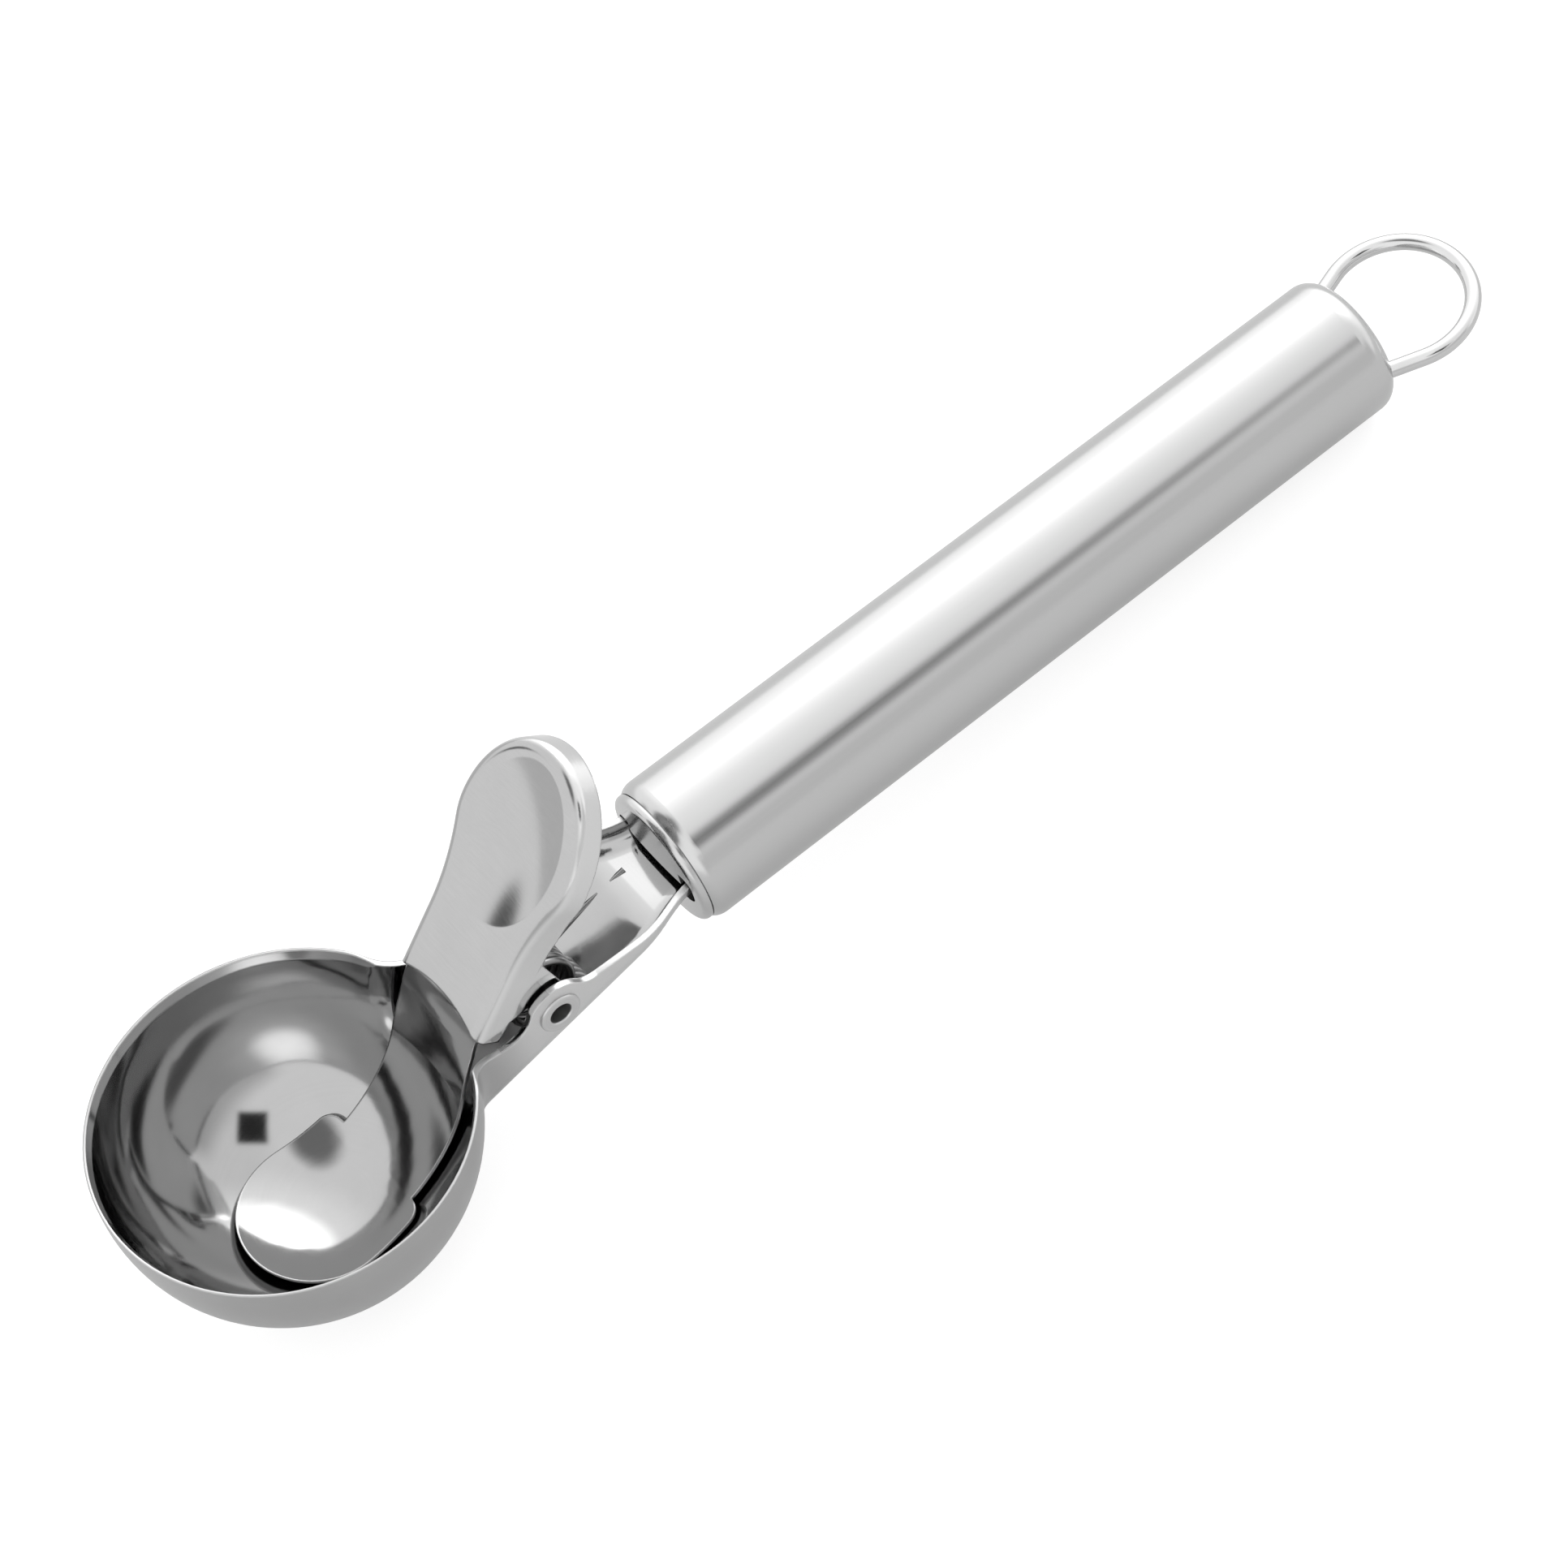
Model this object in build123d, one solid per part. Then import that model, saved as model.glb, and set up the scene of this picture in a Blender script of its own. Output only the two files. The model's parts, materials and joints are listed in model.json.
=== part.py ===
from build123d import *
import math
import os

# Bowl and neck: one stamping, a deep bowl that runs out into an open channel
bowl_radius = 28.0
sheet = 1.0
rim_band = 1.6
rim_bevel_width = 0.6
rim_bevel_depth = 1.4
neck_width = 22.0
neck_end_width = 16.0
neck_corner = 4.0
neck_blend = 5.5
neck_floor_front = 13.4
neck_floor_end = 5.2
neck_ramp_past_pivot = 18.0
neck_top_drop = 2.6
tang_top_drop = 0.9
tang_length = 18.0
taper_delay = 17.0
boss_radius = 5.3
boss_fillet = 4.0
outline_fillet = 4.0
rim_end_share = 0.84
neck_root_share = 0.45
neck_bend_radius = 16.0

# Pivot: a hollow rivet through both channel walls, with a rolled head at each end
pivot_setback = 12.0
pivot_drop = 2.9
rivet_radius = 2.3
rivet_bore = 1.75
rivet_head_radius = 3.3
rivet_head_height = 0.4
rivet_head_round = 0.25
running_clearance = 0.05
seat_clearance = 0.02

# Thumb lever: a pressed sheet with a turned-back edge and two ears on the rivet
lever_sheet = 0.9
lever_lean = 49.8
lever_length = 43.9
lever_foot_setback = 0.9
lever_foot_rise = 0.7
lever_foot_arch = 2.2
lever_side_clearance = 0.5
pad_radius = 12.5
pad_reach = 15.4
pad_neck_fillet = 40.0
pad_flange = 4.5
pad_edge_round = 1.7
pad_dish_depth = 1.2
pad_dish_width = 18.8
pad_dish_length = 26.0
ear_radius = 3.5
ear_flange = 5.8
ear_notch_from_foot = 13.3
ear_notch_depth = 6.2
ear_flange_end = 18.5
flange_blend_end = 29.0

# Ejector blade: a thin strap, flatter across than the bowl, that ends in a round lobe
blade_sheet = 0.6
blade_clearance = 0.3
blade_cross_radius = 35.0
blade_width = 17.0
blade_lobe_radius = 12.0
blade_shoulder_reach = 10.6
blade_shoulder_round = 2.6
blade_overlap = 9.0
blade_crown_share = 0.03
strap_crown_share = 0.2
blade_seat_gap = 0.1
strap_leave_angle = 20.0
strap_join_angle = 23.0
strap_bend_run = 2.6

# Return spring: a torsion spring round the rivet
wire_radius = 0.55
coil_length = 9.0
coil_shift = -2.5
coil_turns = 7
lever_leg_lean = 15.0
floor_leg_length = 20.0
spring_seat_gap = 0.15
gap_samples_per_turn = 48

# Handle: a tapered tube with a slotted front cap and a domed rear cap
neck_run = 26.9
handle_tilt = 2.0
handle_drop = 3.4
handle_front_radius = 11.45
handle_rear_radius = 10.9
handle_length = 121.5
handle_wall = 0.8
front_roll = 2.0
seam_inset = 0.75
cap_sheet = 0.8
cap_bulge = 1.9
cap_crown = 0.5
cap_edge_round = 1.0
cap_skirt = 5.0
seam_gap = 0.2
slip_clearance = 0.05
slot_width = 17.4
slot_corner = 2.0
slot_clearance = 0.15
slot_headroom = 1.1
tongue_side_gap = 1.0
tongue_floor_gap = 1.9
rear_cap_length = 4.9
rear_crown = 1.2
rear_edge_round = 3.4

# Hanging loop: bent wire whose two legs go through the rear cap
loop_wire_radius = 1.25
loop_radius = 10.9
loop_reach = 7.8
loop_leg_angle = 20.0
loop_tail = 3.0

# One overrun serves every cut
overrun = 1.0


def crown_sag(radius, half):
    """How far an arc of that radius falls away from its top over half its width."""
    return radius - math.sqrt(radius**2 - half**2)


# Places that follow from the sizes, with the centre of the bowl's rim at zero
pivot_x = bowl_radius + pivot_setback
pivot_z = -pivot_drop
seam_x = pivot_x + neck_run
seam_z = -handle_drop
cap_face_x = seam_x - cap_bulge
taper_start_x = pivot_x + taper_delay
taper_end_x = cap_face_x
tang_end_x = seam_x + tang_length
headroom = boss_radius + overrun
ramp_end_x = pivot_x + neck_ramp_past_pivot
ramp_rise = (neck_floor_front - neck_floor_end) / (ramp_end_x - bowl_radius)
root_x = bowl_radius * neck_root_share
neck_floor_root = neck_floor_front + ramp_rise * (bowl_radius - root_x)
ramp_angle = math.degrees(math.atan(ramp_rise))
floor_below_pivot = neck_floor_end + ramp_rise * neck_ramp_past_pivot - pivot_drop - sheet
coil_radius = floor_below_pivot * math.cos(math.radians(ramp_angle)) - wire_radius - spring_seat_gap
lever_width = neck_width - 2 * (sheet + lever_side_clearance)
pad_middle = lever_length - pad_reach
foot_x = bowl_radius - lever_foot_setback
foot_z = lever_foot_rise
lobe_side = math.sqrt((bowl_radius - sheet - blade_clearance) ** 2 - blade_lobe_radius**2)
blade_outer = lobe_side + crown_sag(blade_cross_radius, blade_lobe_radius)
blade_middle = blade_outer - blade_sheet / 2
handle_place = Location((seam_x, 0, seam_z), (0, -handle_tilt, 0))
lever_plane = Plane(
    origin=(foot_x, 0, foot_z),
    x_dir=(math.cos(math.radians(lever_lean)), 0, math.sin(math.radians(lever_lean))),
    z_dir=(-math.sin(math.radians(lever_lean)), 0, math.cos(math.radians(lever_lean))),
)
pivot_on_lever = lever_plane.to_local_coords(Vector(pivot_x, 0, pivot_z))


def between(start, end, share):
    """The value that lies a share of the way from start to end."""
    return start + (end - start) * share


def side_face(*outline):
    """A face in the XZ plane from its closed outline."""
    return make_face(Plane.XZ * Polyline(*outline, close=True))


def along_y(face, width):
    """A face in the XZ plane, given a width that is centred on the plane."""
    return extrude(face, width / 2, both=True)


def turned(profile):
    """A solid turned about the X axis from half its section, with its seam at the bottom."""
    return Rot(-90, 0, 0) * revolve(profile, Axis.X)


def neck_solid(inset):
    """The channel as a filled body, drawn in by inset on its sides and floor."""
    end_x = tang_end_x + inset
    half = neck_width / 2 - inset
    end_half = neck_end_width / 2 - inset
    plan = make_face(
        Polyline(
            (root_x, -half),
            (taper_start_x, -half),
            (taper_end_x, -end_half),
            (end_x, -end_half),
            (end_x, end_half),
            (taper_end_x, end_half),
            (taper_start_x, half),
            (root_x, half),
            close=True,
        )
    )
    bends = plan.vertices().filter_by(lambda v: root_x < v.X - seat_clearance and v.X < seam_x)
    plan = fillet(bends, neck_bend_radius)
    side = side_face(
        (root_x, inset - neck_floor_root),
        (ramp_end_x, inset - neck_floor_end),
        (end_x, inset - neck_floor_end),
        (end_x, headroom),
        (root_x, headroom),
    )
    bends = side.vertices().filter_by(lambda v: root_x < v.X - seat_clearance and v.X < seam_x)
    side = fillet(bends, neck_bend_radius)
    body = along_y(side, neck_width + overrun) & extrude(plan, bowl_radius, both=True)
    corners = body.edges().filter_by(
        lambda edge: edge.center().Z < inset - neck_floor_end / 2
        and abs(edge.center().Y) > end_half / 2
        and root_x < edge.center().X - seat_clearance
        and abs(edge.tangent_at(0.5).X) > 1 / 2
    )
    return fillet(corners, neck_corner - inset)


def bowl_solid(inset):
    """The bowl as a filled body: half a ball under a short straight drum."""
    radius = bowl_radius - inset
    upward = (Align.CENTER, Align.CENTER, Align.MIN)
    downward = (Align.CENTER, Align.CENTER, Align.MAX)
    ball = Sphere(radius) & Cylinder(radius + overrun, radius + overrun, align=downward)
    drum = Cylinder(radius, headroom + rim_band, align=upward)
    return Pos(0, 0, -rim_band) * (ball + drum)


def stamping_solid(inset):
    """Bowl and channel as one filled body, blended where they meet."""
    body = bowl_solid(inset) + neck_solid(inset)
    joins = body.edges().filter_by(
        lambda edge: bowl_radius / 2 < edge.center().X < bowl_radius
        and abs(edge.center().Y) < neck_width / 2 + overrun
        and -neck_floor_root < edge.center().Z < headroom - overrun / 2
    )
    return fillet(joins, neck_blend + inset)


def boss_flank(side, top):
    """The foot and the top of the arc that leads from a level edge up to the boss, on one side."""
    rise = boss_fillet + top - pivot_z
    run = math.sqrt((boss_radius + boss_fillet) ** 2 - rise**2)
    boss_share = boss_radius / (boss_radius + boss_fillet)
    return (pivot_x + side * run, top), (pivot_x + side * run * boss_share, pivot_z + rise * boss_share)


def stamping_outline():
    """The stamping seen from the side: level rim, drop to the channel, pivot bosses, tang."""
    rim_end = bowl_radius * rim_end_share
    deep = -bowl_radius - rim_band - overrun
    top = -neck_top_drop
    front_foot, front_top = boss_flank(-1, top)
    rear_foot, rear_top = boss_flank(1, -tang_top_drop)
    outline = Plane.XZ * make_face(
        [
            Polyline(
                rear_foot,
                (tang_end_x + overrun, -tang_top_drop),
                (tang_end_x + overrun, deep),
                (-bowl_radius - overrun, deep),
                (-bowl_radius - overrun, 0),
                (rim_end, 0),
                (bowl_radius + overrun, top),
                front_foot,
            ),
            RadiusArc(front_foot, front_top, -boss_fillet),
            ThreePointArc(front_top, (pivot_x, pivot_z + boss_radius), rear_top),
            RadiusArc(rear_top, rear_foot, -boss_fillet),
        ]
    )
    bends = ((rim_end, 0), (bowl_radius + overrun, top))
    upper = outline.vertices().filter_by(
        lambda v: any(math.hypot(v.X - x, v.Z - z) < seat_clearance for x, z in bends)
    )
    return fillet(upper, outline_fillet)


def make_bowl_and_neck():
    """One stamping: the shell between two filled bodies, trimmed to its outline."""
    shell = stamping_solid(0) - stamping_solid(sheet)
    shell = shell & along_y(stamping_outline(), 2 * (bowl_radius + overrun))
    inner_radius = bowl_radius - sheet
    bevel = Cone(inner_radius, inner_radius + 2 * rim_bevel_width, 2 * rim_bevel_depth)
    pivot_hole = Cylinder(rivet_radius + seat_clearance, neck_width + overrun, rotation=(90, 0, 0))
    return shell - bevel - Pos(pivot_x, 0, pivot_z) * pivot_hole


def make_pivot_rivet():
    """A hollow rivet, turned about its own axis and laid across the channel."""
    grip = neck_width / 2
    head_end = grip + rivet_head_height
    profile = make_face(
        Polyline(
            (-head_end, rivet_bore),
            (head_end, rivet_bore),
            (head_end, rivet_head_radius),
            (grip, rivet_head_radius),
            (grip, rivet_radius),
            (-grip, rivet_radius),
            (-grip, rivet_head_radius),
            (-head_end, rivet_head_radius),
            close=True,
        )
    )
    ends = profile.vertices().filter_by(lambda v: abs(v.X) > head_end - seat_clearance)
    profile = fillet(ends, rivet_head_round)
    return Location((pivot_x, 0, pivot_z), (0, 0, 90)) * revolve(profile, Axis.X)


def lever_outline(inset):
    """The lever's face in its own plane: arched foot, straight sides and an egg-shaped pad."""
    half = lever_width / 2 - inset
    sides = make_face(
        [
            ThreePointArc((0, -half), (lever_foot_arch, 0), (0, half)),
            Polyline((0, half), (pad_middle, half), (pad_middle, -half), (0, -half)),
        ]
    )
    egg = Ellipse(pad_reach - inset, pad_radius - inset)
    tip = egg & Pos(pad_reach / 2, 0) * Rectangle(pad_reach, 2 * pad_radius)
    outline = sides + Pos(pad_middle, 0) * (Circle(pad_radius - inset) + tip)
    waist = outline.vertices().filter_by(lambda v: lever_foot_arch < v.X < pad_middle)
    return fillet(waist, pad_neck_fillet)


def ear_plates():
    """Both ears: side flanges that deepen to a notch, and an eye round the rivet."""
    eye_x = pivot_on_lever.X
    eye_z = pivot_on_lever.Z
    ear_front = lever_plane.to_local_coords(Vector(pivot_x - ear_radius, 0, pivot_z + ear_radius))
    eye_front = lever_plane.to_local_coords(Vector(pivot_x - ear_radius, 0, pivot_z))
    eye_back = lever_plane.to_local_coords(Vector(pivot_x + ear_radius, 0, pivot_z))
    flange_top = -pad_edge_round
    plate = side_face(
        (0, flange_top),
        (ear_flange_end, flange_top),
        (ear_flange_end, -ear_flange),
        (ear_notch_from_foot, -ear_notch_depth),
        (eye_back.X, eye_back.Z),
        (eye_x, eye_z),
        (eye_front.X, eye_front.Z),
        (ear_front.X, ear_front.Z),
    )
    plate = plate + Pos(eye_x, 0, eye_z) * (Plane.XZ * Circle(ear_radius))
    ears = along_y(plate, lever_width) - along_y(plate, lever_width - 2 * lever_sheet)
    eye = Cylinder(rivet_radius + running_clearance, lever_width + overrun, rotation=(90, 0, 0))
    return ears - Pos(eye_x, 0, eye_z) * eye


def dish_press(grow):
    """The barrel that presses the pad's hollow, longer along the lever than across, and grown by grow."""
    across = ((pad_dish_width / 2) ** 2 + pad_dish_depth**2) / (2 * pad_dish_depth)
    along = ((pad_dish_length / 2) ** 2 + pad_dish_depth**2) / (2 * pad_dish_depth)
    reach = pad_dish_length
    end = across - along + math.sqrt((along + grow) ** 2 - reach**2)
    profile = make_face(
        [
            Polyline((-reach, end), (-reach, 0), (reach, 0), (reach, end)),
            ThreePointArc((-reach, end), (0, across + grow), (reach, end)),
        ]
    )
    return Pos(pad_middle, 0, across - pad_dish_depth) * revolve(profile, Axis.X)


def make_thumb_lever():
    """A tray with a dished pad and an open foot, and the two ears below it, cut off at the foot."""
    tray = extrude(lever_outline(0), -ear_flange)
    front = tray.edges().filter_by(
        lambda edge: abs(edge.center().Z) < lever_sheet / 2
        and edge.center().X > lever_foot_arch + overrun
    )
    tray = fillet(front, pad_edge_round)
    hollow = Pos(0, 0, -lever_sheet) * extrude(lever_outline(lever_sheet), -ear_flange)
    foot_way = Pos(-overrun, 0, -lever_sheet) * Box(
        lever_foot_arch + 2 * overrun,
        lever_width - 2 * lever_sheet,
        ear_flange,
        align=(Align.MIN, Align.CENTER, Align.MAX),
    )
    edge_depth = side_face(
        (-overrun, overrun),
        (lever_length + overrun, overrun),
        (lever_length + overrun, -pad_flange),
        (flange_blend_end, -pad_flange),
        (ear_flange_end, -ear_flange),
        (ear_notch_from_foot, -ear_flange),
        (0, -pad_flange),
        (-overrun, -pad_flange),
    )
    hollow = hollow + foot_way - dish_press(lever_sheet)
    lever = tray - hollow - dish_press(0)
    lever = lever & along_y(edge_depth, 2 * (pad_radius + overrun))
    return lever_plane * split(lever + ear_plates(), Plane.YZ)


def strap_section(middle, tangent_angle, crown_share):
    """The blade's strap cut square to its path, with a share of its full crown across."""
    half = blade_width / 2
    angle = math.radians(tangent_angle)
    plane = Plane(
        origin=(middle[0], 0, middle[1]),
        x_dir=(0, -1, 0),
        z_dir=(math.cos(angle), 0, math.sin(angle)),
    )
    outer = blade_sheet / 2
    outer_end = outer - crown_share * crown_sag(blade_cross_radius, half)
    inner_end = -outer - crown_share * crown_sag(blade_cross_radius - blade_sheet, half)
    outline = [
        ThreePointArc((-half, outer_end), (0, outer), (half, outer_end)),
        Line((half, outer_end), (half, inner_end)),
        ThreePointArc((half, inner_end), (0, -outer), (-half, inner_end)),
        Line((-half, inner_end), (-half, outer_end)),
    ]
    return plane * make_face(outline)


def on_band(angle):
    """A place on the middle of the blade's sheet, angle degrees below the bowl's equator."""
    turn = math.radians(angle)
    return (blade_middle * math.cos(turn), -rim_band - blade_middle * math.sin(turn))


def blade_band():
    """A ring round the Y axis, one sheet thick and crowned across, that the blade is cut from."""
    reach = blade_lobe_radius + overrun
    inner = blade_outer - blade_sheet
    outer_end = blade_outer - crown_sag(blade_cross_radius, reach)
    inner_end = inner - crown_sag(blade_cross_radius - blade_sheet, reach)
    section = make_face(
        [
            ThreePointArc((outer_end, -reach), (blade_outer, 0), (outer_end, reach)),
            Line((outer_end, reach), (inner_end, reach)),
            ThreePointArc((inner_end, reach), (inner, 0), (inner_end, -reach)),
            Line((inner_end, -reach), (outer_end, -reach)),
        ]
    )
    return revolve(section, Axis.Y)


def make_ejector_blade():
    """A crowned band cut to strap and lobe, lofted back under the lever's face."""
    round_x = blade_shoulder_reach - blade_shoulder_round
    round_y = blade_lobe_radius - blade_shoulder_round - blade_sheet
    corners = [Pos(round_x, y) * Circle(blade_shoulder_round) for y in (-round_y, round_y)]
    lobe_edges = Circle(blade_lobe_radius).edges() + corners[0].edges() + corners[1].edges()
    spade = make_hull(lobe_edges) + Pos(blade_outer / 2, 0) * Rectangle(blade_outer, blade_width)
    spoon = blade_band() & extrude(spade, -blade_outer - overrun)
    join = Plane.XY.rotated((0, strap_join_angle, 0))
    spoon = Pos(0, 0, -rim_band) * split(spoon, join, keep=Keep.BOTTOM)

    lean = math.radians(lever_lean)
    depth = lever_sheet + blade_seat_gap + blade_sheet / 2
    line_x = foot_x + depth * math.sin(lean)
    line_z = foot_z - depth * math.cos(lean)
    leave = on_band(strap_leave_angle)
    rise = math.radians(90 - strap_leave_angle)
    spread = math.sin(rise - lean)
    corner_run = ((line_z - leave[1]) * math.cos(lean) - (line_x - leave[0]) * math.sin(lean)) / spread
    corner = (leave[0] + corner_run * math.cos(rise), leave[1] + corner_run * math.sin(rise))
    bend_start = (
        corner[0] - strap_bend_run * math.cos(rise),
        corner[1] - strap_bend_run * math.sin(rise),
    )
    bend_end = (
        corner[0] + strap_bend_run * math.cos(lean),
        corner[1] + strap_bend_run * math.sin(lean),
    )
    middle_angle = (90 - strap_leave_angle + lever_lean) / 2
    bend_middle = (
        (bend_start[0] + bend_end[0] + 2 * corner[0]) / 4,
        (bend_start[1] + bend_end[1] + 2 * corner[1]) / 4,
    )
    strap_end = (
        line_x + blade_overlap * math.cos(lean),
        line_z + blade_overlap * math.sin(lean),
    )
    strap = [
        strap_section(on_band(strap_join_angle), 90 - strap_join_angle, 1),
        strap_section(leave, 90 - strap_leave_angle, 1),
        strap_section(bend_start, 90 - strap_leave_angle, strap_crown_share),
    ]
    bend = [
        strap[-1],
        strap_section(bend_middle, middle_angle, (strap_crown_share + blade_crown_share) / 2),
        strap_section(bend_end, lever_lean, blade_crown_share),
    ]
    tongue_length = math.hypot(strap_end[0] - bend_end[0], strap_end[1] - bend_end[1])
    tongue = extrude(bend[-1], tongue_length, dir=lever_plane.x_dir)
    return spoon + loft(strap) + loft(bend) + tongue


def biarc(start, start_way, end, end_way):
    """Two tangent arcs that join two places, each left or reached in a given direction."""
    chord = end - start
    ways = start_way + end_way
    spread = 2 * (1 - start_way.dot(end_way))
    along = chord.dot(ways)
    reach = (math.sqrt(along**2 + spread * chord.dot(chord)) - along) / spread
    middle = (start + end + (start_way - end_way) * reach) / 2
    middle_way = (end - end_way * reach - middle).normalized()
    return [
        Edge.make_tangent_arc(start, start_way, middle),
        Edge.make_tangent_arc(middle, middle_way, end),
    ]


def coil_place(angle, y):
    """A place on the coil's centre line; the angle turns from +X to +Z about the rivet."""
    turn = math.radians(angle)
    return Vector(pivot_x + coil_radius * math.cos(turn), y, pivot_z + coil_radius * math.sin(turn))


def coil_way(angle, rise_per_degree):
    """The direction of the coil's centre line at that angle."""
    turn = math.radians(angle)
    run = coil_radius * math.pi / 180
    return Vector(-run * math.sin(turn), rise_per_degree, run * math.cos(turn)).normalized()


def make_return_spring():
    """Torsion spring: a leg under the lever, turns round the rivet, a leg on the channel floor."""
    first = 180 - lever_leg_lean
    last = 270 + ramp_angle + 360 * coil_turns
    rise = coil_length / (last - first)
    quarters = round((last - first) / 90)
    angles = [between(first, last, step / quarters) for step in range(quarters + 1)]
    coil_start = coil_shift - coil_length / 2
    places = [coil_place(angle, coil_start + rise * (angle - first)) for angle in angles]
    ways = [coil_way(angle, rise) for angle in angles]

    start_way = ways[0]
    lean = math.radians(lever_lean)
    normal = Vector(-math.sin(lean), 0, math.cos(lean))
    under_lever = Vector(foot_x, 0, foot_z) - normal * (lever_sheet + wire_radius + spring_seat_gap)
    lever_leg = (under_lever - places[0]).dot(normal) / -start_way.dot(normal)
    path = [Edge.make_line(places[0] - start_way * lever_leg, places[0])]
    for step in range(quarters):
        path += biarc(places[step], ways[step], places[step + 1], ways[step + 1])
    path.append(Edge.make_line(places[-1], places[-1] + ways[-1] * floor_leg_length))

    samples = [
        coil_place(angle, rise * angle)
        for angle in (360 * step / gap_samples_per_turn for step in range(3 * gap_samples_per_turn))
    ]
    half_turn = gap_samples_per_turn // 2
    nearest = min((samples[0] - other).length for other in samples[half_turn:])
    print("return_spring: least gap of the wire to itself, mm:", round(nearest - 2 * wire_radius, 3))
    section = Plane(origin=path[0] @ 0, z_dir=path[0] % 0) * Circle(wire_radius)
    return sweep(section, path=Wire(path))


def tube_outline(inset):
    """The tube's outside drawn in by inset: a rolled front lip and a straight taper."""
    front = handle_front_radius - inset
    return [
        TangentArc((front_roll, front), (0, front - seam_inset), tangent=(-1, 0)),
        Line((front_roll, front), (handle_length, handle_rear_radius - inset)),
    ]


def make_handle_tube():
    """A thin tapered tube whose front lip is rolled in towards the cap."""
    lip = handle_front_radius - seam_inset
    profile = tube_outline(0) + tube_outline(handle_wall)
    profile += [
        Line((0, lip), (0, lip - handle_wall)),
        Line((handle_length, handle_rear_radius), (handle_length, handle_rear_radius - handle_wall)),
    ]
    return handle_place * turned(make_face(profile))


def make_front_cap():
    """A drawn cap: a rounded front with a bent slot for the tang, and a skirt inside the tube's lip."""
    rim = handle_front_radius - seam_inset
    skirt = rim - handle_wall - slip_clearance
    face = cap_crown - cap_bulge
    outside = make_face(
        [
            Polyline(
                (-cap_bulge, 0),
                (cap_skirt, 0),
                (cap_skirt, skirt),
                (-seam_gap, skirt),
                (-seam_gap, rim),
                (face, rim),
            ),
            TangentArc((-cap_bulge, 0), (face, rim), tangent=(0, 1)),
        ]
    )
    corner = outside.vertices().filter_by(lambda v: v.Y > skirt and v.X < -seam_gap - seat_clearance)
    outside = fillet(corner, cap_edge_round)
    hollow_length = cap_bulge + cap_skirt + overrun
    hollow = Pos(cap_sheet + cap_crown - cap_bulge, 0, 0) * Cylinder(
        skirt - cap_sheet,
        hollow_length,
        rotation=(0, 90, 0),
        align=(Align.CENTER, Align.CENTER, Align.MIN),
    )
    cap = handle_place * (turned(outside) - hollow)
    slot_bottom = -neck_floor_end - slot_clearance
    slot_top = slot_headroom - tang_top_drop
    slot_middle = (slot_top + slot_bottom) / 2
    tongue_width = neck_end_width - 2 * (sheet + tongue_side_gap)
    tongue_bottom = sheet + tongue_floor_gap - neck_floor_end
    tongue_height = slot_top - tongue_bottom + overrun
    tongue = Pos(0, tongue_bottom + tongue_height / 2 - slot_middle) * Rectangle(tongue_width, tongue_height)
    opening = RectangleRounded(slot_width, slot_top - slot_bottom, slot_corner) - tongue
    slot_place = Pos(cap_face_x - overrun, 0, slot_middle)
    return cap - slot_place * extrude(Plane.YZ * opening, neck_run)


def loop_wire(radius):
    """The loop's wire, round the handle's end, given its radius."""
    middle = handle_length + rear_cap_length + rear_crown + loop_reach
    way = math.radians(loop_leg_angle)
    arc_x = middle - loop_radius * math.sin(way)
    arc_y = loop_radius * math.cos(way)
    tail_x = handle_length + rear_cap_length - cap_sheet - loop_tail
    tail_y = arc_y - (arc_x - tail_x) * math.tan(way)
    path = [
        Line((tail_x, -tail_y), (arc_x, -arc_y)),
        ThreePointArc((arc_x, -arc_y), (middle + loop_radius, 0), (arc_x, arc_y)),
        Line((arc_x, arc_y), (tail_x, tail_y)),
    ]
    section = Plane(origin=path[0] @ 0, z_dir=path[0] % 0) * Circle(radius)
    return sweep(section, path=Wire(path))


def make_rear_cap():
    """A drawn cap with a rounded end, a skirt inside the tube and two holes for the loop."""
    rim = handle_rear_radius
    skirt = rim - handle_wall - slip_clearance
    end = handle_length + rear_cap_length
    front = handle_length - cap_skirt
    outside = make_face(
        [
            Polyline((end + rear_crown, 0), (front, 0), (front, skirt), (handle_length, skirt)),
            Polyline((handle_length, skirt), (handle_length, rim), (end, rim)),
            TangentArc((end + rear_crown, 0), (end, rim), tangent=(0, 1)),
        ]
    )
    corner = outside.vertices().filter_by(lambda v: v.Y > skirt and v.X > handle_length + seat_clearance)
    outside = fillet(corner, rear_edge_round)
    bore = make_face(
        [
            Polyline((end - cap_sheet, 0), (front - overrun, 0), (front - overrun, skirt - cap_sheet)),
            Polyline((front - overrun, skirt - cap_sheet), (end - cap_sheet, skirt - cap_sheet)),
            Line((end - cap_sheet, skirt - cap_sheet), (end - cap_sheet, 0)),
        ]
    )
    inner = bore.vertices().filter_by(lambda v: v.Y > skirt / 2 and v.X > handle_length)
    bore = fillet(inner, rear_edge_round - cap_sheet)
    cap = turned(outside) - turned(bore)
    return handle_place * (cap - loop_wire(loop_wire_radius + seat_clearance))


def resting_tilt():
    """The turn about Y that sets the bowl and the handle's rear edge down on one plane."""
    tilt = math.radians(handle_tilt)
    reach = handle_length + rear_cap_length - rear_edge_round
    below = handle_rear_radius - rear_edge_round
    run = seam_x + reach * math.cos(tilt) + below * math.sin(tilt)
    climb = seam_z + rim_band + reach * math.sin(tilt) - below * math.cos(tilt)
    drop = bowl_radius - rear_edge_round
    return math.degrees(math.asin(drop / math.hypot(run, climb)) + math.atan2(climb, run))


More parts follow.
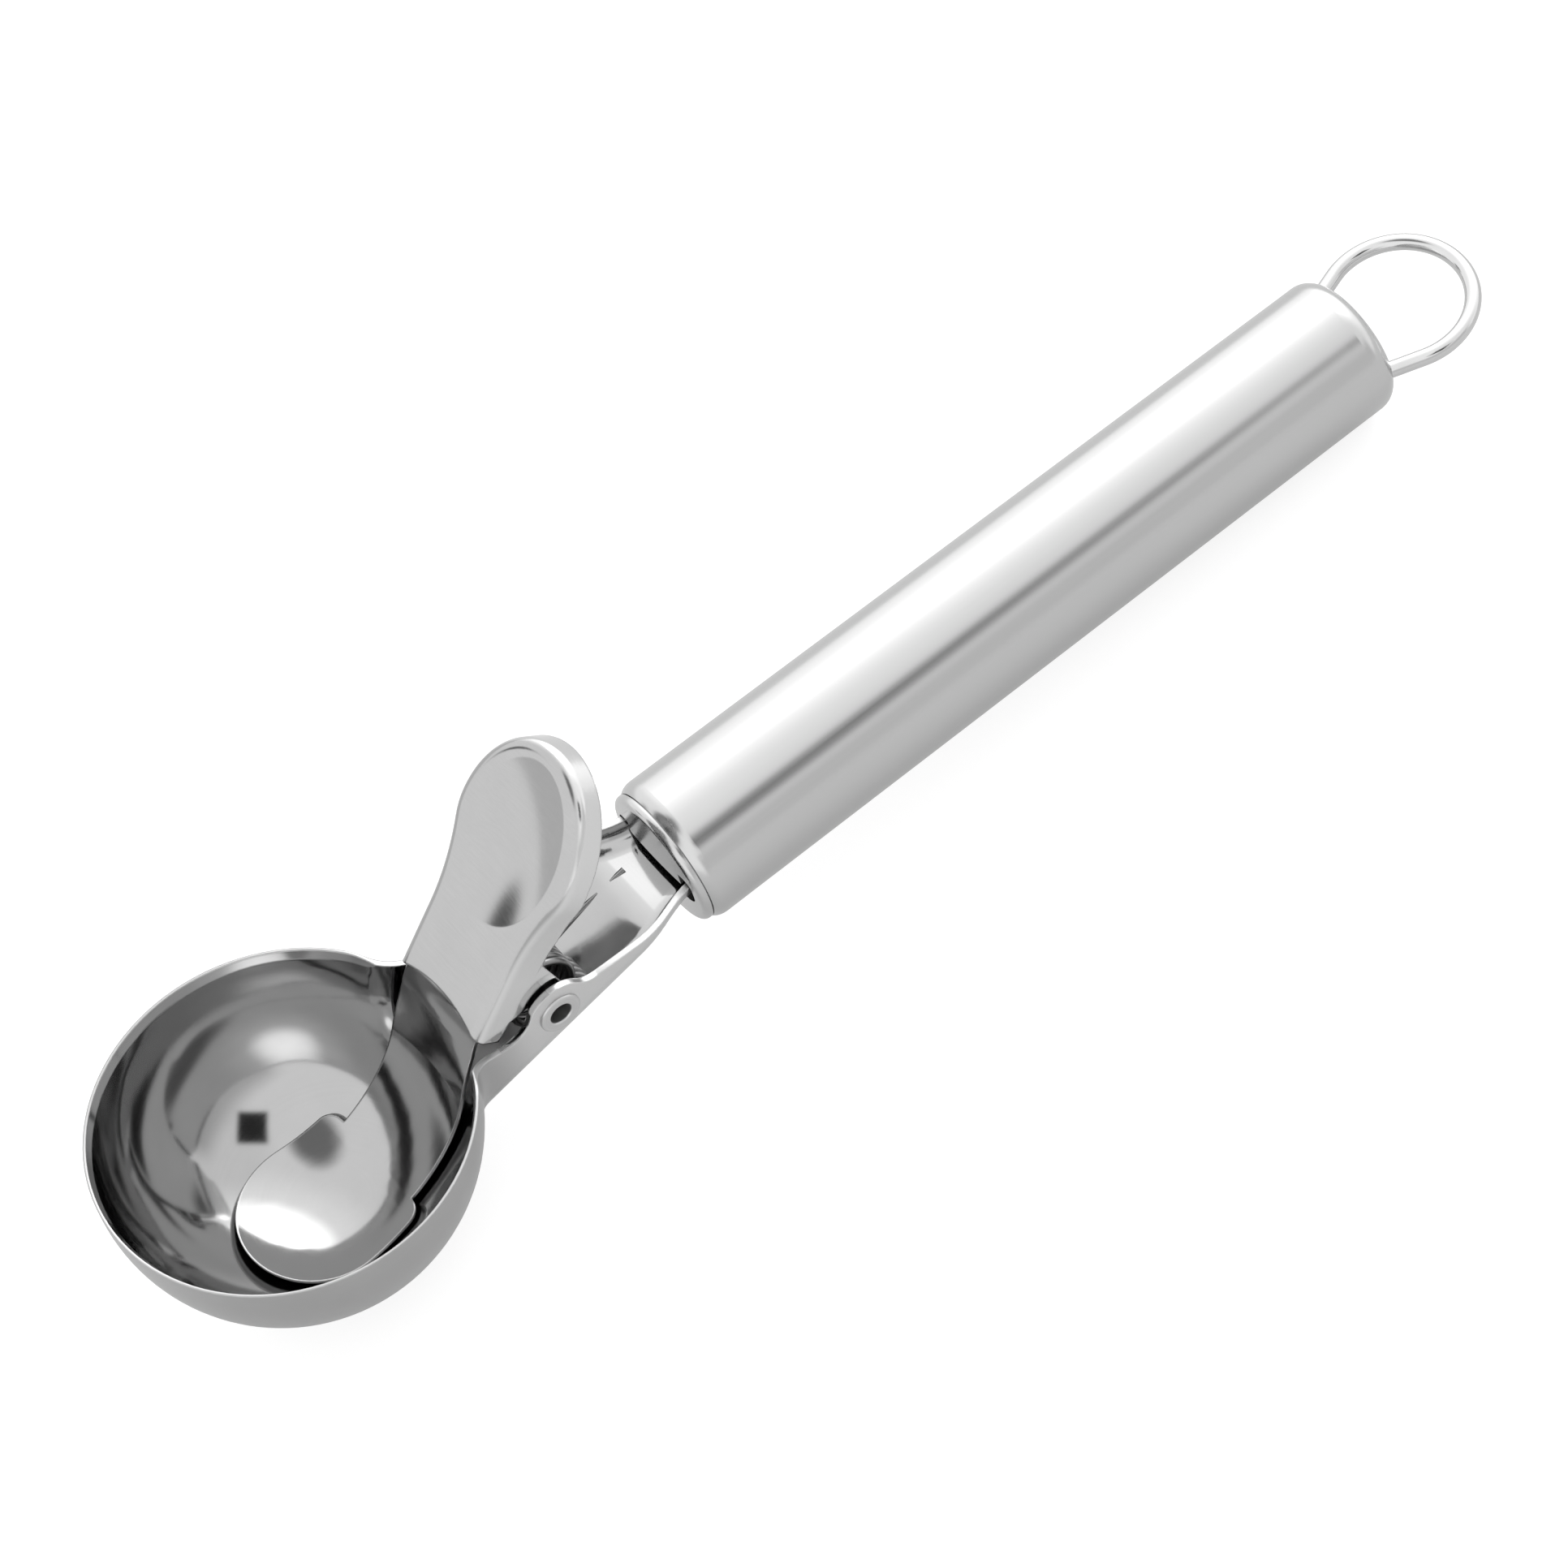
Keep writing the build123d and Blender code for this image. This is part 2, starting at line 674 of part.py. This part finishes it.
parts = {
    "bowl_and_neck": make_bowl_and_neck(),
    "pivot_rivet": make_pivot_rivet(),
    "thumb_lever": make_thumb_lever(),
    "ejector_blade": make_ejector_blade(),
    "return_spring": make_return_spring(),
    "handle_tube": make_handle_tube(),
    "front_cap": make_front_cap(),
    "rear_cap": make_rear_cap(),
    "hang_loop": handle_place * loop_wire(loop_wire_radius),
}

# Set down as it lies on a table, with the origin under the middle of the whole part
tilt = resting_tilt()
resting = {name: Rot(0, tilt, 0) * solid for name, solid in parts.items()}
boxes = [solid.bounding_box() for solid in resting.values()]
front_end = min(box.min.X for box in boxes)
rear_end = max(box.max.X for box in boxes)
lowest = min(box.min.Z for box in boxes)
to_origin = Pos(-(front_end + rear_end) / 2, 0, -lowest)

os.makedirs("parts", exist_ok=True)
for name, solid in resting.items():
    export_step(to_origin * solid, f"parts/{name}.step")

pivot = to_origin * Rot(0, tilt, 0) * Pos(pivot_x, 0, pivot_z)
print("resting tilt, degrees:", round(tilt, 3), "pivot at, mm:", pivot.position)
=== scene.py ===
# %% [markdown]
# # A steel ice cream scoop
# The scoop's solids come ready made, at their real size, in metres. This lesson gives them their
# finish: it sets up the camera and a plain studio, writes a small helper for shader maths, makes
# one steel after another, and winds the return spring as a finer mesh than its solid.

# %% Load the solids and keep their box
import json
import math

import bpy
from mathutils import Matrix, Vector


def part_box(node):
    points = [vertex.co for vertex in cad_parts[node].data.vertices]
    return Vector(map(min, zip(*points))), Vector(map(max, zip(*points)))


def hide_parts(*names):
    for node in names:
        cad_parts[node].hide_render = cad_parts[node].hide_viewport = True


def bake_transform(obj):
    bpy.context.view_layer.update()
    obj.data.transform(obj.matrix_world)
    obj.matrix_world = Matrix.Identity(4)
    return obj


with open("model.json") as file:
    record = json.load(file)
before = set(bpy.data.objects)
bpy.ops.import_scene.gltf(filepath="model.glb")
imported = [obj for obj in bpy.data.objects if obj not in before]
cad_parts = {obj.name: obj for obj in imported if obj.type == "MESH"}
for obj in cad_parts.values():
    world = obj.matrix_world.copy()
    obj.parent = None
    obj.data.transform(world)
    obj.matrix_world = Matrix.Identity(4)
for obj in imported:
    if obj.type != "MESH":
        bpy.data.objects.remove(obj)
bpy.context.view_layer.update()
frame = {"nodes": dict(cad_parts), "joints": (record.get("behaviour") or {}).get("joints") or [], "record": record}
print("nodes:", ", ".join(sorted(frame["nodes"])))

# %% [markdown]
# ## Places on the scoop
# The finishes follow the pieces: rings round the bowl, lines along the handle, circles round the
# rivet. Their places could be typed in, but the frame already knows them, so they are read from
# there: the bowl touches the table below its ball's centre, the hinge is the rivet's axis, and the
# hanging loop lies in the plane of the handle's axis.

# %% Places read from the frame
bowl_radius = 0.028
bowl_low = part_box("bowl_and_neck")[0]
bowl_centre = Vector((bowl_low[0] + bowl_radius, 0, bowl_radius))
pivot = Vector(frame["joints"][0]["pos_m"])
loop_normal = Vector(frame["record"]["mounts"][0]["axis"])
handle_way = Vector((loop_normal.z, 0, -loop_normal.x)).normalized()
handle_lean = math.atan2(-handle_way.z, handle_way.x)
print("bowl centre", [round(x, 4) for x in bowl_centre], "pivot", [round(x, 4) for x in pivot])
print("handle leans down by", round(math.degrees(handle_lean), 2), "degrees")

# %% [markdown]
# ## The camera
# The picture was taken from above the bowl's near side with a long lens and a tilted camera. A
# camera can be placed by eye, or from a heading, an elevation and a roll about one point that it
# aims at. The second way keeps each number readable, so it is used here: heading 0 looks along
# +Y, and the aim is the spot on the table that lies in the middle of the picture.

# %% Camera
camera_heading = math.radians(15.52)
camera_elevation = math.radians(57.03)
camera_roll = math.radians(-26.12)
camera_distance = 0.9266
camera_aim = Vector((-0.00405, 0.00889, 0))
camera_lens_mm = 146.9

turn = (
    Matrix.Rotation(-camera_heading, 4, "Z")
    @ Matrix.Rotation(math.pi / 2 - camera_elevation, 4, "X")
    @ Matrix.Rotation(camera_roll, 4, "Z")
)
step_back = Matrix.Translation((0, 0, camera_distance))
camera = bpy.data.objects.new("camera", bpy.data.cameras.new("camera"))
camera.data.lens = camera_lens_mm
camera.matrix_world = Matrix.Translation(camera_aim) @ turn @ step_back
bpy.context.scene.collection.objects.link(camera)
bpy.context.scene.camera = camera
bpy.context.scene.view_settings.view_transform = "Standard"
print("camera stands at", [round(x, 3) for x in camera.matrix_world.translation])

# %% [markdown]
# ## Shader maths as Python
# A node tree is tiring to write link by link. This class wraps one output socket and gives it
# Python's operators, so that `1 - mask * 0.5` adds the Math nodes by itself. Every other node
# comes from its one method, `node`, which takes the node's type, its settings and its inputs.


# %% A socket with operators
class Flow:
    """An output socket of a node tree; arithmetic on it adds Math nodes to that tree."""

    def __init__(self, tree, socket=None):
        self.tree = tree
        self.socket = socket

    def node(self, kind, settings=(), inputs=(), output=0):
        """Adds a node: its settings first, then values or links for its sockets."""
        made = self.tree.nodes.new(kind)
        for name, value in dict(settings).items():
            setattr(made, name, value)
        for name, value in dict(inputs).items():
            if isinstance(value, Flow):
                self.tree.links.new(value.socket, made.inputs[name])
            else:
                made.inputs[name].default_value = value
        return Flow(self.tree, made.outputs[output] if len(made.outputs) else None)

    def maths(self, operation, *values):
        return self.node("ShaderNodeMath", {"operation": operation}, dict(enumerate(values)))

    def __add__(self, other):
        return self.maths("ADD", self, other)

    def __radd__(self, other):
        return self.maths("ADD", other, self)

    def __sub__(self, other):
        return self.maths("SUBTRACT", self, other)

    def __rsub__(self, other):
        return self.maths("SUBTRACT", other, self)

    def __mul__(self, other):
        return self.maths("MULTIPLY", self, other)

    def __rmul__(self, other):
        return self.maths("MULTIPLY", other, self)

    def __gt__(self, other):
        return self.maths("GREATER_THAN", self, other)


def dot(vector, way):
    """How far a vector reaches along another: one number."""
    return vector.node(
        "ShaderNodeVectorMath", {"operation": "DOT_PRODUCT"}, {0: vector, 1: way}, output="Value"
    )


def soft_step(value, low, high):
    """0 below low, 1 above high, and a smooth rise between them."""
    return value.node(
        "ShaderNodeMapRange",
        {"interpolation_type": "SMOOTHSTEP"},
        {"Value": value, "From Min": low, "From Max": high},
    )


# %% [markdown]
# ## The studio
# Polished steel shows its surroundings more than itself, so the studio is most of the look. The
# scoop lies in a light tent: pale walls all round, a soft lamp beyond the far side of the handle, a
# darker patch of ceiling over the bowl, a dimmer wall with a square opening at the front, and a
# small gap at the back. Lamps and cloths could be built, but their edges would show in the bowl, so
# the tent is painted on the world's background with soft steps. These functions make its patches.

# %% Patches of the tent
def way(heading, elevation):
    """The unit vector at that heading, in degrees from +X towards +Y, and elevation."""
    turn, rise = math.radians(heading), math.radians(elevation)
    return (math.cos(rise) * math.cos(turn), math.cos(rise) * math.sin(turn), math.sin(rise))


def spot(view, heading, elevation, core, edge):
    """A round patch: 1 out to core degrees from its middle, 0 past edge degrees."""
    facing = dot(view, way(heading, elevation))
    return soft_step(facing, math.cos(math.radians(edge)), math.cos(math.radians(core)))


def window(view, heading, elevation, half_width, half_height, roll, edge):
    """A soft-edged rectangle of the tent's wall round a middle, with its sizes in degrees."""
    middle = Vector(way(heading, elevation))
    level = Vector(way(heading + 90, 0))
    steep = middle.cross(level)
    turn = math.radians(roll)
    across = level * math.cos(turn) + steep * math.sin(turn)
    upward = steep * math.cos(turn) - level * math.sin(turn)
    mask = dot(view, middle) > 0
    for axis, half in ((across, half_width), (upward, half_height)):
        offset = dot(view, axis)
        distance = offset.maths("ABSOLUTE", offset)
        inner, outer = (math.sin(math.radians(size)) for size in (half - edge, half + edge))
        mask = mask * (1 - soft_step(distance, inner, outer))
    return mask


# %% [markdown]
# ## The tent's light
# Each dark place takes a share of the tent's even light away, and the lamp with its halo adds some.
# The headings follow from what each part of the scoop mirrors: the square opening shows in the bowl
# and as the handle's dark streak, the ceiling patch on the blade, the back gap in the lever's dish,
# and the lamp on the blade's lobe and, mirrored twice, as the crescent on the bowl's far wall. The
# camera itself sees a plain backdrop in place of the tent.

# %% World light
tent_light = 1.6
halo_light = 0.6
lamp_light = 3.2

studio = bpy.data.worlds.new("studio")
bpy.context.scene.world = studio
studio.use_nodes = True
studio.node_tree.nodes.clear()
start = Flow(studio.node_tree)
view = start.node("ShaderNodeTexCoord", output="Generated")
ceiling_patch = spot(view, heading=188, elevation=77, core=8, edge=20)
front_opening = window(
    view, heading=287, elevation=46, half_width=9, half_height=9, roll=37, edge=2
)
front_wall = window(
    view, heading=285, elevation=14, half_width=34, half_height=16, roll=0, edge=8
)
front_corner = spot(view, heading=318, elevation=40, core=12, edge=34)
back_gap = spot(view, heading=133, elevation=15, core=3, edge=9)
halo = spot(view, heading=40, elevation=28, core=4, edge=56)
lamp = spot(view, heading=40, elevation=32, core=3, edge=30)
shades = (
    (ceiling_patch, 0.78),
    (front_opening, 0.97),
    (front_wall, 0.4),
    (front_corner, 0.1),
    (back_gap, 0.9),
)
light = tent_light
for patch, share in shades:
    light = light * (1 - share * patch)
light = light + halo_light * halo + lamp_light * lamp
seen = start.node("ShaderNodeLightPath", output="Is Camera Ray")
backdrop = start.node("ShaderNodeBackground", inputs={"Color": (1, 1, 1, 1)})
tent = start.node("ShaderNodeBackground", inputs={"Strength": light})
sky = start.node("ShaderNodeMixShader", inputs={0: seen, 1: tent, 2: backdrop})
start.node("ShaderNodeOutputWorld", inputs={"Surface": sky})
print("studio nodes:", len(studio.node_tree.nodes))

# %% [markdown]
# ## The floor
# The scoop lies on a light table, a sheet of milky glass that is lit from below, so the picture's
# ground is white and shadows are faint. A large plane with a matt shader and a steady glow does it.
# The full glow would wash out the steel's lower side, so only the camera sees it, and a mirrored ray
# meets a fainter one.

# %% Floor
floor_half = 3.0
glass_grey = 0.4
table_glow = 0.72
mirrored_glow = 0.3

corners = [(floor_half * x, floor_half * y, 0) for x, y in ((-1, -1), (1, -1), (1, 1), (-1, 1))]
floor_mesh = bpy.data.meshes.new("floor")
floor_mesh.from_pydata(corners, [], [(0, 1, 2, 3)])
floor = bpy.data.objects.new("floor", floor_mesh)
bpy.context.scene.collection.objects.link(floor)
glass = bpy.data.materials.new("milky_glass")
glass.use_nodes = True
glass.node_tree.nodes.clear()
table = Flow(glass.node_tree)
matt = table.node("ShaderNodeBsdfDiffuse", inputs={"Color": (glass_grey, glass_grey, glass_grey, 1)})
direct = table.node("ShaderNodeLightPath", output="Is Camera Ray")
full = table.node("ShaderNodeEmission", inputs={"Strength": table_glow})
faint = table.node("ShaderNodeEmission", inputs={"Strength": mirrored_glow})
glow = table.node("ShaderNodeMixShader", inputs={0: direct, 1: faint, 2: full})
lit_glass = table.node("ShaderNodeAddShader", inputs={0: matt, 1: glow})
table.node("ShaderNodeOutputMaterial", inputs={"Surface": lit_glass})
floor_mesh.materials.append(glass)
print("floor is", 2 * floor_half, "m wide")

# %% [markdown]
# ## What every steel shares
# Each finish is the same metal with other marks in it. A finish is therefore three maps: a tone
# between a dark and a light grey, a roughness, and a height in metres that a Bump node turns into
# normals. On sheet the Bump node starts from a Bevel node, which rounds the normals at the sheared
# edges, so that each edge catches a thin line of light as a deburred edge does. Where a weld is
# ground flush, as on the handle, the edge round is 0 and the Bevel node is left out.

# %% Steel from three maps
sheet_edge_round = 0.0004
bevel_samples = 6


def noise(place, scale, detail, stretch=(1, 1, 1)):
    """Noise of about 1/scale metres, squeezed or drawn out along the axes by stretch."""
    drawn = place.node("ShaderNodeVectorMath", {"operation": "MULTIPLY"}, {0: place, 1: stretch})
    return place.node(
        "ShaderNodeTexNoise", inputs={"Vector": drawn, "Scale": scale, "Detail": detail}
    )


def steel(name, marks, dark, light, edge_round):
    """A steel between two greys; marks gives its tone, roughness and height from a place on it."""
    material = bpy.data.materials.new(name)
    material.use_nodes = True
    material.node_tree.nodes.clear()
    flow = Flow(material.node_tree)
    place = flow.node("ShaderNodeTexCoord", output="Object")
    tone, roughness, height = marks(place)
    grey = flow.node(
        "ShaderNodeMix",
        {"data_type": "RGBA"},
        {0: tone, 6: (dark, dark, dark, 1), 7: (light, light, light, 1)},
        output=2,
    )
    bump = {"Height": height, "Distance": 1.0}
    if edge_round:
        rounding = {"Radius": edge_round}
        bump["Normal"] = flow.node("ShaderNodeBevel", {"samples": bevel_samples}, rounding)
    normal = flow.node("ShaderNodeBump", inputs=bump)
    shader = flow.node(
        "ShaderNodeBsdfPrincipled",
        inputs={"Base Color": grey, "Metallic": 1.0, "Roughness": roughness, "Normal": normal},
    )
    flow.node("ShaderNodeOutputMaterial", inputs={"Surface": shader})
    return material


# %% [markdown]
# ## Polished steel: bowl, neck and blade
# The bowl is pressed from sheet and polished inside with a turning mop. Pressing leaves the mirror
# slightly wavy, which bends every reflection, and the mop leaves rings that are too fine to see one
# by one. Outside it is only brushed, so there it is duller. Along the neck the outside is also
# given a paler grey, a painted highlight for the light that face mirrors. Inside and outside could
# be two materials on picked faces, but the normal tells them apart: outside it points away from the
# bowl's centre.

# %% Polished steel
wave_height = 0.00011
ring_height = 0.0000005
# Where the painted highlight along the neck's outside starts and is full, from the bowl's centre.
neck_highlight_start = 0.026
neck_highlight_full = 0.036


def about_bowl(place):
    """The place measured from the bowl's centre."""
    return place.node("ShaderNodeVectorMath", {"operation": "SUBTRACT"}, {0: place, 1: bowl_centre})


def mop_rings(place):
    """Fine rings round the bowl's upright axis."""
    spread = place.node("ShaderNodeVectorMath", {"operation": "MULTIPLY"}, {0: place, 1: (1, 1, 0)})
    reach = place.node("ShaderNodeVectorMath", {"operation": "LENGTH"}, {0: spread}, output="Value")
    height = dot(place, (0, 0, 1))
    ring = place.node("ShaderNodeCombineXYZ", inputs={"X": reach, "Y": height})
    return noise(ring, scale=2600, detail=3)


def polished_marks(place):
    """A wavy mirror inside, a brushed skin outside with a painted highlight along the neck."""
    from_centre = about_bowl(place)
    facing = place.node("ShaderNodeTexCoord", output="Normal")
    outside = dot(facing, from_centre) > 0
    waves = noise(place, scale=75, detail=1)
    rings = mop_rings(from_centre)
    stains = noise(place, scale=160, detail=4)
    # Painted highlight: the outside along the neck gets a paler grey for the light it mirrors.
    neck_painted_highlight = outside * soft_step(dot(from_centre, (1, 0, 0)), neck_highlight_start, neck_highlight_full)
    tone = 0.14 * stains + 0.06 * rings + 0.75 * neck_painted_highlight
    roughness = 0.07 + 0.04 * rings + 0.2 * outside
    height = wave_height * waves + ring_height * rings
    return tone, roughness, height


polished_steel = steel(
    "polished_steel", polished_marks, dark=0.39, light=0.72, edge_round=sheet_edge_round
)
print("made", polished_steel.name)


# %% [markdown]
# ## Pressed steel: the thumb lever
# The lever is bent from sheet, tumbled and lightly buffed, so it is smooth but not a mirror. Its
# marks run across it, the way that the buff crossed it. The turned-back edge is given a paler grey
# than the face, a painted highlight for the light that edge mirrors, and a face that doesn't look
# the lever's way, forward or back, belongs to that edge.

# %% Pressed steel
lever_face = (-0.68, 0, 0.735)
dent_height = 0.00006
buff_height = 0.000002


def pressed_marks(place):
    """A smooth face with fine lines across it, and a painted highlight on the edge."""
    dents = noise(place, scale=60, detail=1)
    lines = noise(place, scale=900, detail=3, stretch=(4, 0.3, 4))
    stains = noise(place, scale=140, detail=3)
    facing = dot(place.node("ShaderNodeTexCoord", output="Normal"), lever_face)
    # Painted highlight: the turned-back edge gets a paler grey for the light it mirrors.
    edge_painted_highlight = 1 - soft_step(facing * facing, 0.2, 0.6)
    tone = 0.1 * stains + 0.1 * lines + 0.7 * edge_painted_highlight
    roughness = 0.11 + 0.06 * lines
    height = dent_height * dents + buff_height * lines
    return tone, roughness, height


pressed_steel = steel(
    "pressed_steel", pressed_marks, dark=0.39, light=0.75, edge_round=sheet_edge_round
)
print("made", pressed_steel.name)


# %% [markdown]
# ## Satin steel: handle and caps
# The handle is a drawn tube that is ground along its length after the caps are welded in. The
# lines are drawn out along the handle's own axis, so the place is first turned level with it.

# %% Satin steel
grind_height = 0.0000006
cloud_height = 0.00003


def along_handle(place):
    """The place turned so that X runs along the handle."""
    turned = {"Vector": place, "Angle": -handle_lean}
    return place.node("ShaderNodeVectorRotate", {"rotation_type": "Y_AXIS"}, turned)


def satin_marks(place):
    """Fine lines along the handle over soft clouds."""
    level = along_handle(place)
    lines = noise(level, scale=2200, detail=3, stretch=(0.015, 1, 1))
    clouds = noise(level, scale=60, detail=1, stretch=(0.4, 1, 1))
    tone = 0.4 * lines + 0.6 * clouds
    roughness = 0.21 + 0.05 * lines
    height = grind_height * lines + cloud_height * clouds
    return tone, roughness, height


handle_steel = steel("handle_steel", satin_marks, dark=0.54, light=0.59, edge_round=0)
print("made", handle_steel.name)


# %% [markdown]
# ## Turned steel: the rivet
# The rivet's heads are rolled over by a turning tool, which leaves rings round its axis and a matt
# surface. The rings are noise over the distance from that axis.

# %% Turned steel
tool_ring_height = 0.00001
pit_height = 0.000004


def turned_marks(place):
    """Rings round the rivet's axis, with small pits."""
    from_axis = place.node("ShaderNodeVectorMath", {"operation": "SUBTRACT"}, {0: place, 1: pivot})
    flat = {0: from_axis, 1: (1, 0, 1)}
    spread = place.node("ShaderNodeVectorMath", {"operation": "MULTIPLY"}, flat)
    reach = place.node("ShaderNodeVectorMath", {"operation": "LENGTH"}, {0: spread}, output="Value")
    ring = place.node("ShaderNodeCombineXYZ", inputs={"X": reach})
    rings = noise(ring, scale=3000, detail=2)
    pits = noise(place, scale=2500, detail=3)
    roughness = 0.28 + 0.15 * pits
    height = tool_ring_height * rings + pit_height * pits
    return rings, roughness, height


rivet_steel = steel("rivet_steel", turned_marks, dark=0.52, light=0.68, edge_round=0.0003)
print("made", rivet_steel.name)


# %% [markdown]
# ## Drawn wire: loop and spring
# Both are wire pulled through a die. The loop is polished afterwards, the spring keeps its darker
# skin. Fine specks and faint waves are enough at this size.

# %% Drawn wire
loop_wave_height = 0.00002
loop_speck_height = 0.000001
spring_speck_height = 0.000002


def loop_marks(place):
    """Faint waves and fine specks."""
    waves = noise(place, scale=200, detail=1)
    specks = noise(place, scale=2500, detail=3)
    roughness = 0.1 + 0.06 * specks
    height = loop_wave_height * waves + loop_speck_height * specks
    return waves, roughness, height


def spring_marks(place):
    """A blotchy skin with fine specks."""
    specks = noise(place, scale=3000, detail=3)
    blotches = noise(place, scale=500, detail=2)
    roughness = 0.25 + 0.15 * specks
    height = spring_speck_height * specks
    return blotches, roughness, height


loop_wire = steel("loop_wire", loop_marks, dark=0.57, light=0.65, edge_round=0.0002)
spring_wire = steel("spring_wire", spring_marks, dark=0.2, light=0.3, edge_round=0.0001)
print("made", loop_wire.name, "and", spring_wire.name)

# %% [markdown]
# ## Which piece gets which steel
# The solids come with plain materials. A table of piece and finish is easier to read and to change
# than a line for each, so a loop swaps them in.

# %% Give each node its finish
finishes = {
    "bowl_and_neck": polished_steel,
    "ejector_blade": polished_steel,
    "thumb_lever": pressed_steel,
    "pivot_rivet": rivet_steel,
    "handle_tube": handle_steel,
    "front_cap": handle_steel,
    "rear_cap": handle_steel,
    "hang_loop": loop_wire,
}
for node, finish in finishes.items():
    mesh = frame["nodes"][node].data
    mesh.materials.clear()
    mesh.materials.append(finish)
    print(node, "is", finish.name)

# %% [markdown]
# ## The return spring
# A torsion spring lies round the rivet: one leg under the lever, seven turns, one leg on the
# channel's floor. Its solid is kept for the motion but hidden here, and a finer tube takes its place.
# A helix is a formula, so the points of its line are worked out, with the solid's own sizes. Angles
# are counted on the scoop as it was drawn, and it lies tilted, because bowl and handle both touch
# the table.

# %% Line of the spring
coil_radius = 0.0053
coil_length = 0.009
coil_shift = -0.0025
coil_turns = 7
points_per_turn = 40
resting_tilt = math.radians(5.926)
first_angle = math.radians(165)
last_angle = math.radians(285.287 + 360 * coil_turns)
lever_leg = 0.01359
floor_leg = 0.02


def coil_point(share):
    """A point of the coil, from its lever end at share 0 to its floor end at share 1."""
    angle = first_angle + (last_angle - first_angle) * share - resting_tilt
    across = coil_shift + coil_length * (share - 0.5)
    return pivot + Vector((coil_radius * math.cos(angle), across, coil_radius * math.sin(angle)))


steps = points_per_turn * coil_turns
route = [coil_point(step / steps) for step in range(steps + 1)]
start_way = (route[0] - route[1]).normalized()
end_way = (route[-1] - route[-2]).normalized()
route = [route[0] + start_way * lever_leg] + route + [route[-1] + end_way * floor_leg]
print("the spring's line has", len(route), "points")

# %% [markdown]
# ## From line to wire
# A curve with a round bevel makes a tube along the line, and the tube becomes a mesh.

# %% Wire of the spring
wire_radius = 0.00055
wire_facets = 4

line = bpy.data.curves.new("spring_line", "CURVE")
line.dimensions = "3D"
line.bevel_depth = wire_radius
line.bevel_resolution = wire_facets
line.use_fill_caps = True
spline = line.splines.new("POLY")
spline.points.add(len(route) - 1)
for point, position in zip(spline.points, route):
    point.co = (*position, 1)
wound = bpy.data.objects.new("spring_line", line)
spring_mesh = bpy.data.meshes.new_from_object(wound)
bpy.data.objects.remove(wound)
spring_mesh.polygons.foreach_set("use_smooth", [True] * len(spring_mesh.polygons))
spring = bpy.data.objects.new("torsion_spring", spring_mesh)
bpy.context.scene.collection.objects.link(spring)
spring_mesh.materials.clear()
spring_mesh.materials.append(spring_wire)
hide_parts("return_spring")
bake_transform(spring)
print("spring has", len(spring_mesh.polygons), "faces on", coil_turns, "turns")
